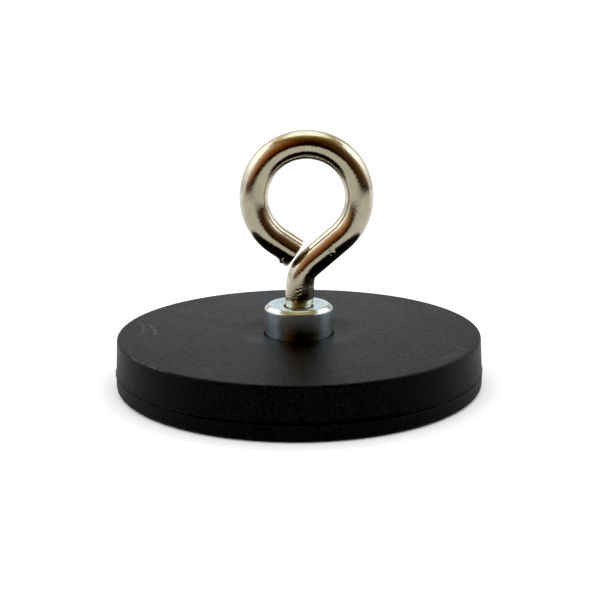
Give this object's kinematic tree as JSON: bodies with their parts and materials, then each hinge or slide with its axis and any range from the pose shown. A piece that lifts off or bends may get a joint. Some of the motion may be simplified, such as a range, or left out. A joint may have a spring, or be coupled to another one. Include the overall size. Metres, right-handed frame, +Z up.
{
  "type": "magnet fishing magnet",
  "caption": "Round rubber-coated pot magnet with a raised threaded bush in the middle and a bent-wire eye bolt for a rope.",
  "frame": {"origin": "centre of the flat rubber face underneath, which is the magnet's holding face and what it stands on", "axes": "+Z up along the eye bolt's thread, away from the holding face; +X to the side that the wire leans to as it runs into the eye, in the plane of the eye; +Y through the eye"},
  "size_m": [0.043, 0.043, 0.0294],
  "materials": {
    "rubber": "matte",
    "back_plate_steel": "satin",
    "magnet_nickel": "satin",
    "bush_zinc": "satin",
    "bolt_nickel": "gloss"
  },
  "bodies": {
    "magnet_base": {"rubber_top_cover": "rubber", "rubber_base_pad": "rubber", "steel_back_plate": "back_plate_steel", "disc_magnet_1": "magnet_nickel", "disc_magnet_2": "magnet_nickel", "disc_magnet_3": "magnet_nickel", "disc_magnet_4": "magnet_nickel", "disc_magnet_5": "magnet_nickel", "disc_magnet_6": "magnet_nickel", "threaded_bush": "bush_zinc"},
    "eye_bolt": {"eye_bolt": "bolt_nickel"}
  },
  "joints": [
    {"name": "eye_bolt_turn", "type": "hinge", "parent": "magnet_base", "child": "eye_bolt", "pos_m": [0, 0, 0.009], "axis": [0, 0, 1], "range_deg": [0, 360]}
  ]
}
